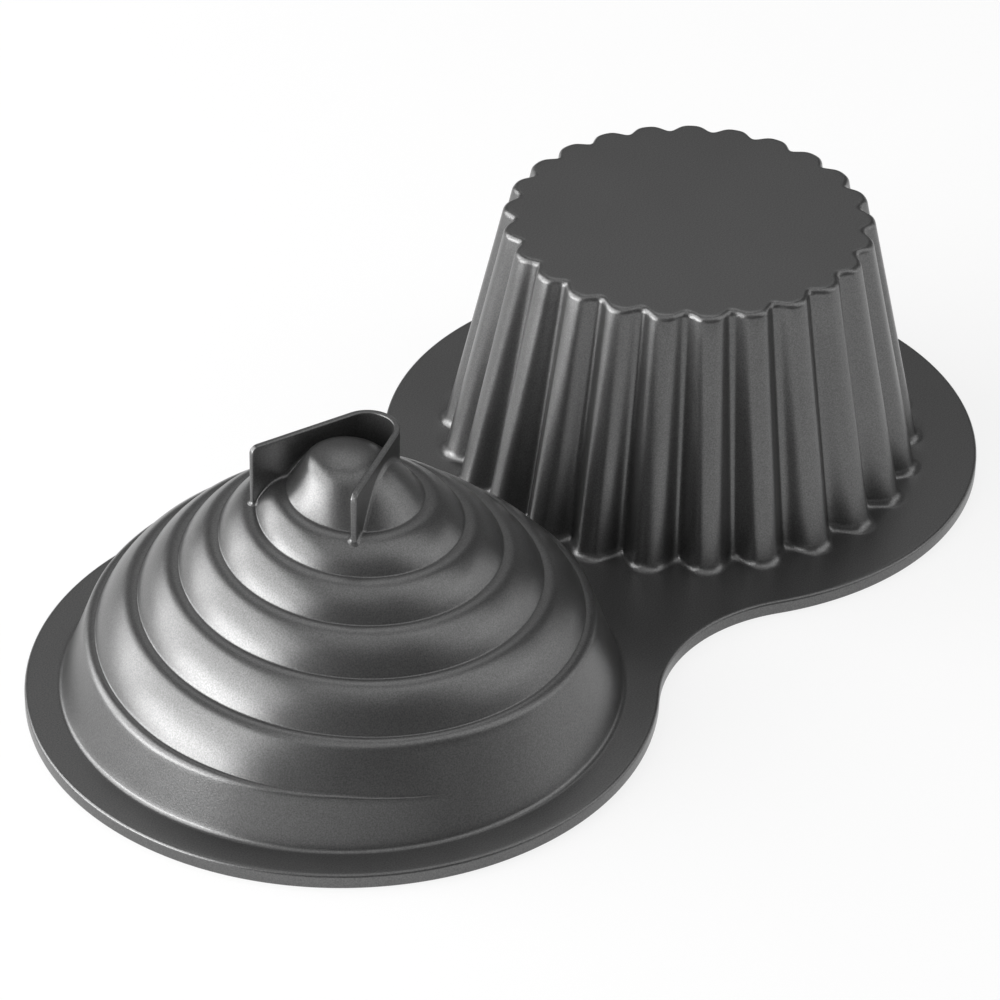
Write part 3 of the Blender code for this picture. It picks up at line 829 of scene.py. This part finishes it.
def height_over(points, triangles):
    """Height of a surface straight above or below plan points.

    Each point is tested against a triangle by the three areas that it makes with the
    triangle's sides. Where all have one sign, it is inside, and the height is the corners'
    heights weighted by those areas. The highest triangle counts. The points go in groups,
    and each group is tested only against the triangles that reach its box.
    """
    low = triangles[..., :2].min(axis=1)
    high = triangles[..., :2].max(axis=1)
    found = []
    for group in np.array_split(points, math.ceil(len(points) / POINTS_AT_A_TIME)):
        reached = ((low <= group.max(axis=0)) & (high >= group.min(axis=0))).all(axis=1)
        near = triangles[reached]
        point = group[:, None]
        a, b, c = (near[None, :, i, :2] for i in range(3))
        sides = ((b, c), (c, a), (a, b))
        shares = np.stack([doubled_area(point, *side) for side in sides], axis=2)
        whole = shares.sum(axis=2)
        inside = (shares >= 0).all(axis=2) | (shares <= 0).all(axis=2)
        inside &= whole != 0
        height = (shares * near[None, :, :, 2]).sum(axis=2) / np.where(inside, whole, 1)
        found.append(np.where(inside, height, 0).max(axis=1))
    return np.concatenate(found)


def grid_triangles(grid):
    """The triangles of a grid of points, two for each of its quads."""
    a, b, c, d = quad_corners(grid)
    halves = ((a, b, c), (a, c, d))
    return np.concatenate([np.stack(half, axis=2).reshape(-1, 3, 3) for half in halves])


def leg_direction(stand):
    """Plan direction of the near leg, from its end to the bend."""
    return np.array((math.cos(stand.leg_angle), math.sin(stand.leg_angle)))


def stand_line(stand, offset):
    """Plan line of the bent wall at an offset outwards from its outer face.

    Two straight legs, cut square at their ends, and a round bend on the cup's side. The
    legs' points crowd towards their ends.
    """
    quarter = math.pi / 2 - stand.leg_angle
    bend_x = (stand.reach - stand.bend_radius) / math.sin(stand.leg_angle)
    bend = arc((bend_x, 0), stand.bend_radius + offset, -quarter, quarter, BEND_STEPS)
    leg_start = bend_x + stand.bend_radius * math.sin(stand.leg_angle)
    leg_length = (leg_start + stand.leg_end) / math.cos(stand.leg_angle)
    near_end = bend[0] - leg_direction(stand) * leg_length
    crowded = np.linspace(0, 1, LEG_STEPS + 1)[:, None] ** LEG_CROWDING
    near = near_end + (bend[0] - near_end) * crowded
    far = near[::-1] * (1, -1)
    return np.concatenate([near[:-1], bend, far[1:]])


def end_corner(stand, before, corner, after):
    """The arc round one upright edge of a leg's end."""
    return tangent_arc(before, corner, after, stand.end_round, END_STEPS)


def stand_loop(stand):
    """Plan outline of the stand, anticlockwise, and the outward direction at each point.

    It starts at the near leg's outer corner, follows the outer line round the bend to
    the far leg's, and comes back along the inner line, so each point faces the one that
    is as far from the loop's end as it is from the start. The lines' points less than
    twice the round from a corner are left out.
    """
    outer = stand_line(stand, 0.0)
    inner = stand_line(stand, -stand.thickness)[::-1]
    near_corner = np.linalg.norm(outer - outer[0], axis=1) < 2 * stand.end_round
    trim = np.count_nonzero(near_corner)
    loop = np.concatenate(
        [
            end_corner(stand, inner[-1], outer[0], outer[1]),
            outer[trim:-trim],
            end_corner(stand, outer[-2], outer[-1], inner[0]),
            end_corner(stand, outer[-1], inner[0], inner[1]),
            inner[trim:-trim],
            end_corner(stand, inner[-2], inner[-1], outer[0]),
        ]
    )
    along = unit(np.roll(loop, -1, axis=0) - np.roll(loop, 1, axis=0))
    return loop, np.stack([along[:, 1], -along[:, 0]], axis=1)


def stand_top(stand, plan):
    """Height of the stand's top: level, and a quarter circle down at the legs' ends.

    The far leg's points are measured as their mirror images on the near leg.
    """
    from_end = plan * (1, 0) - np.abs(plan) * (0, 1) - stand_line(stand, 0.0)[0]
    left = stand.corner_round - from_end @ leg_direction(stand)
    left = np.clip(left, 0, stand.corner_round)
    top = PAN_HEIGHT + stand.rise
    return top - stand.corner_round + np.sqrt(stand.corner_round**2 - left**2)


def across(row):
    """A strip that joins each point of the stand's loop to the one opposite it."""
    half = len(row) // 2
    return np.stack([row[:half], row[half:][::-1]], axis=1)


def stand_ground(flange, spiral, stand):
    """The triangles of the spiral under the stand, about the stand's middle line."""
    curves = StepCurves(flange, spiral)
    near_tip = curves.filleted_strip()[-round(STAND_GROUND_TURNS * TURN_STEPS):]
    ground = np.concatenate([grid_triangles(near_tip), grid_triangles(curves.crown())])
    return ground - (0, stand.shift, 0)


def stand_fillet(stand, loop, outward, ground):
    """Rows of the fillet at the stand's foot, a quarter circle laid on the spiral.

    Each row is the outline moved outwards by the radius times one less the cosine, and
    lies the radius times one less the sine above the spiral. The outermost row is sunk
    into the spiral by the edge's round, so that no gap shows under it.
    """
    rows = []
    for turn in np.linspace(math.pi / 2, 0, FILLET_STEPS + 1):
        plan = loop + outward * stand.foot_fillet * (1 - math.cos(turn))
        above = stand.foot_fillet * (1 - math.sin(turn))
        rows.append(np.column_stack([plan, height_over(plan, ground) + above]))
    rows[0][:, 2] -= stand.edge_round
    return rows


def stand_edge(stand, loop, outward):
    """Rows of the rounded top edge, a quarter circle from the wall in to the top."""
    rows = []
    for turn in np.linspace(0, math.pi / 2, FILLET_STEPS + 1):
        plan = loop - outward * stand.edge_round * (1 - math.cos(turn))
        top = stand_top(stand, plan) - stand.edge_round * (1 - math.sin(turn))
        rows.append(np.column_stack([plan, top]))
    return rows


def build_stand(flange, spiral, stand):
    """The bent stand wall: its fillet, straight rows up the wall, and its top edge.

    Strips across the wall close its top and its underside. It is worked out about its own
    middle line, which lies a shift off the spiral's tip.
    """
    loop, outward = stand_loop(stand)
    foot = stand_fillet(stand, loop, outward, stand_ground(flange, spiral, stand))
    edge = stand_edge(stand, loop, outward)
    rows = foot + blend_rows(foot[-1], edge[0], STAND_WALL_ROWS)[1:-1] + edge
    wall = np.stack([np.concatenate([row, row[:1]]) for row in rows], axis=1)
    place = (-half_spacing(flange), stand.shift, 0)
    grids = [wall, across(edge[-1]), across(foot[0])[:, ::-1]]
    return grid_mesh("stand_wall", [grid + place for grid in grids])


def set_inputs(node, values):
    """Sets a node's inputs by their names."""
    for name, value in values.items():
        node.inputs[name].default_value = value


def coat_material():
    """The dark non-stick coat: metal flake under a sandy grain, one material for all.

    Fine noise speckles the colour and makes the bumps, and broad noise makes the duller
    and shinier patches.
    """
    made = bpy.data.materials.get("nonstick_coat")
    if made:
        return made
    finish = bpy.context.scene.pan_coat
    material = bpy.data.materials.new("nonstick_coat")
    material.use_nodes = True
    tree = material.node_tree
    nodes = tree.nodes
    shader = nodes["Principled BSDF"]
    set_inputs(shader, {"Metallic": finish.metal})
    place = nodes.new("ShaderNodeTexCoord")
    grain = nodes.new("ShaderNodeTexNoise")
    set_inputs(grain, {"Scale": 1 / finish.grain, "Detail": 3})
    cloud = nodes.new("ShaderNodeTexNoise")
    set_inputs(cloud, {"Scale": 1 / finish.cloud, "Detail": 2})
    speckle = nodes.new("ShaderNodeValToRGB")
    tones = (1 - finish.speckle, 1 + finish.speckle)
    for element, position, tone in zip(speckle.color_ramp.elements, NOISE_RANGE, tones):
        element.position = position
        element.color = (*(tone * channel for channel in finish.colour), 1)
    rough = nodes.new("ShaderNodeMapRange")
    set_inputs(rough, {"From Min": NOISE_RANGE[0], "From Max": NOISE_RANGE[1]})
    set_inputs(rough, {"To Min": finish.roughness - finish.unevenness})
    set_inputs(rough, {"To Max": finish.roughness + finish.unevenness})
    bump = nodes.new("ShaderNodeBump")
    set_inputs(bump, {"Distance": finish.grain_depth})
    links = tree.links
    for noise in (grain, cloud):
        links.new(place.outputs["Object"], noise.inputs["Vector"])
    links.new(grain.outputs["Fac"], speckle.inputs["Fac"])
    links.new(speckle.outputs["Color"], shader.inputs["Base Color"])
    links.new(cloud.outputs["Fac"], rough.inputs["Value"])
    links.new(rough.outputs["Result"], shader.inputs["Roughness"])
    links.new(grain.outputs["Fac"], bump.inputs["Height"])
    links.new(bump.outputs["Normal"], shader.inputs["Normal"])
    return material


def floor_material(studio):
    """A plain pale floor, mixed with plain white for the camera and for reflections.

    The white is an emission of strength 1, which camera, glossy and transmission rays
    see and diffuse rays don't. The rest is lit by the lamps and keeps the shadow.
    """
    material = bpy.data.materials.new("pale_floor")
    material.use_nodes = True
    tree = material.node_tree
    nodes = tree.nodes
    links = tree.links
    shader = nodes["Principled BSDF"]
    set_inputs(shader, {"Base Color": (*studio.floor_colour, 1)})
    set_inputs(shader, {"Roughness": 0.9, "Specular IOR Level": 0})
    white = nodes.new("ShaderNodeEmission")
    path = nodes.new("ShaderNodeLightPath")
    seen = path.outputs["Is Camera Ray"]
    for ray in ("Is Glossy Ray", "Is Transmission Ray"):
        either = nodes.new("ShaderNodeMath")
        either.operation = "MAXIMUM"
        links.new(seen, either.inputs[0])
        links.new(path.outputs[ray], either.inputs[1])
        seen = either.outputs["Value"]
    part = nodes.new("ShaderNodeMath")
    part.operation = "MULTIPLY"
    part.inputs[1].default_value = studio.floor_white
    links.new(seen, part.inputs[0])
    blend = nodes.new("ShaderNodeMixShader")
    links.new(part.outputs["Value"], blend.inputs["Fac"])
    links.new(shader.outputs["BSDF"], blend.inputs[1])
    links.new(white.outputs["Emission"], blend.inputs[2])
    links.new(blend.outputs["Shader"], nodes["Material Output"].inputs["Surface"])
    return material


# Name, plan angle and height angle in degrees, width and height in metres, watts
LAMPS = (
    ("left_softbox", 138, 27, (2.3, 1.6), 37.0),
    ("left_rear_softbox", 102, 18, (0.8, 0.7), 4.6),
    ("left_low_softbox", 150, 11, (1.4, 0.6), 15.0),
    ("right_softbox", 300, 45, (1.0, 1.5), 5.4),
    ("right_low_softbox", 320, 14, (1.2, 0.7), 2.7),
    ("back_softbox", 36, 64, (0.9, 0.9), 2.5),
    ("back_low_softbox", 38, 40, (1.3, 0.5), 0.6),
    ("top_softbox", 218, 72, (1.1, 1.1), 2.8),
)


def add_softbox(name, azimuth, elevation, size, watts):
    """A soft oblong lamp that faces the pan from a plan angle and a height angle."""
    lamp = bpy.data.lights.new(name, "AREA")
    lamp.shape = "RECTANGLE"
    lamp.size, lamp.size_y = size
    lamp.energy = watts
    obj = add_object(name, lamp)
    flat = math.cos(elevation)
    away = Vector((math.cos(azimuth) * flat, math.sin(azimuth) * flat, math.sin(elevation)))
    obj.location = away * LAMP_DISTANCE
    obj.rotation_euler = away.to_track_quat("Z", "Y").to_euler()


def light_room(studio):
    """The room's own dim light, the same from all sides."""
    world = bpy.data.worlds.new("studio_room")
    bpy.context.scene.world = world
    world.use_nodes = True
    background = world.node_tree.nodes["Background"]
    set_inputs(background, {"Color": (1, 1, 1, 1), "Strength": studio.world_level})


def place_camera(studio):
    """The camera, turned about the aim by its angles and rolled about its own axis."""
    data = bpy.data.cameras.new("photo_camera")
    data.sensor_width = SENSOR_WIDTH
    data.lens = studio.focal_ratio * data.sensor_width
    data.clip_start = 0.05
    data.clip_end = 50
    camera = add_object("photo_camera", data)
    turn = Matrix.Rotation(studio.azimuth, 4, "Z")
    turn @= Matrix.Rotation(math.pi / 2 - studio.elevation, 4, "X")
    turn @= Matrix.Rotation(studio.roll, 4, "Z")
    step = Matrix.Translation((studio.aim_right, studio.aim_up, studio.distance))
    camera.matrix_world = Matrix.Translation((0, 0, studio.aim_height)) @ turn @ step
    bpy.context.scene.camera = camera


class PAN_OT_flange(bpy.types.Operator):
    """Build the flange that carries both moulds"""

    bl_idname = "pan.flange"
    bl_label = "Build Flange"

    def execute(self, context):
        scene = context.scene
        mesh = build_flange(scene.pan_flange, scene.pan_cup, scene.pan_spiral)
        finish_piece(mesh, "rim_plate")
        return {"FINISHED"}


class PAN_OT_cup(bpy.types.Operator):
    """Build the fluted cup"""

    bl_idname = "pan.cup"
    bl_label = "Build Fluted Cup"

    def execute(self, context):
        mesh = build_cup(context.scene.pan_flange, context.scene.pan_cup)
        finish_piece(mesh, "cup_mould")
        return {"FINISHED"}


class PAN_OT_spiral(bpy.types.Operator):
    """Build the stepped spiral with its dome"""

    bl_idname = "pan.spiral"
    bl_label = "Build Stepped Spiral"

    def execute(self, context):
        mesh = build_spiral(context.scene.pan_flange, context.scene.pan_spiral)
        spiral = finish_piece(mesh, "swirl_mould")
        keep_open_edges_sharp(mesh)
        give_wall(spiral, RIM_TOP - PLATE_UNDERSIDE)
        return {"FINISHED"}


class PAN_OT_stand(bpy.types.Operator):
    """Build the bent stand wall round the spiral's tip"""

    bl_idname = "pan.stand"
    bl_label = "Build Stand Wall"

    def execute(self, context):
        scene = context.scene
        mesh = build_stand(scene.pan_flange, scene.pan_spiral, scene.pan_stand)
        finish_piece(mesh, "stand_foot")
        return {"FINISHED"}


class PAN_OT_studio(bpy.types.Operator):
    """Set up the floor, the lamps and the camera"""

    bl_idname = "pan.studio"
    bl_label = "Set Up Studio"

    def execute(self, context):
        studio = context.scene.pan_studio
        bpy.ops.mesh.primitive_plane_add(size=FLOOR_WIDTH, location=(0, 0, -FLOOR_GAP))
        floor = context.object
        floor.name = "studio_floor"
        floor.data.materials.append(floor_material(studio))
        for name, azimuth, elevation, size, watts in LAMPS:
            add_softbox(name, math.radians(azimuth), math.radians(elevation), size, watts)
        light_room(studio)
        place_camera(studio)
        context.scene.view_settings.view_transform = "Standard"
        return {"FINISHED"}


class PAN_PT_sidebar(bpy.types.Panel):
    """The pan's pieces and its studio"""

    bl_idname = "PAN_PT_sidebar"
    bl_label = "Giant Cupcake Pan"
    bl_space_type = "VIEW_3D"
    bl_region_type = "UI"
    bl_category = "Cupcake Pan"

    def draw(self, context):
        for operator in OPERATORS:
            self.layout.operator(operator.bl_idname)
        for name in SETTINGS:
            box = self.layout.box()
            settings = getattr(context.scene, name)
            for prop in settings.bl_rna.properties:
                if not prop.is_readonly and prop.identifier != "name":
                    box.prop(settings, prop.identifier)


OPERATORS = (PAN_OT_flange, PAN_OT_cup, PAN_OT_spiral, PAN_OT_stand, PAN_OT_studio)
SETTINGS = {
    "pan_flange": FlangeSizes,
    "pan_cup": CupSizes,
    "pan_spiral": SpiralSizes,
    "pan_stand": StandSizes,
    "pan_coat": CoatFinish,
    "pan_studio": StudioSettings,
}


def register():
    """Registers the settings, the operators and the panel."""
    for name, group in SETTINGS.items():
        bpy.utils.register_class(group)
        setattr(bpy.types.Scene, name, PointerProperty(type=group))
    for cls in (*OPERATORS, PAN_PT_sidebar):
        bpy.utils.register_class(cls)


def unregister():
    """Takes back everything that register added."""
    for cls in (PAN_PT_sidebar, *reversed(OPERATORS)):
        bpy.utils.unregister_class(cls)
    for name, group in reversed(SETTINGS.items()):
        delattr(bpy.types.Scene, name)
        bpy.utils.unregister_class(group)


def main():
    """Registers the settings, then builds every piece and the studio."""
    register()
    bpy.ops.pan.flange()
    bpy.ops.pan.cup()
    bpy.ops.pan.spiral()
    bpy.ops.pan.stand()
    bpy.ops.pan.studio()


if __name__ == "__main__":
    main()
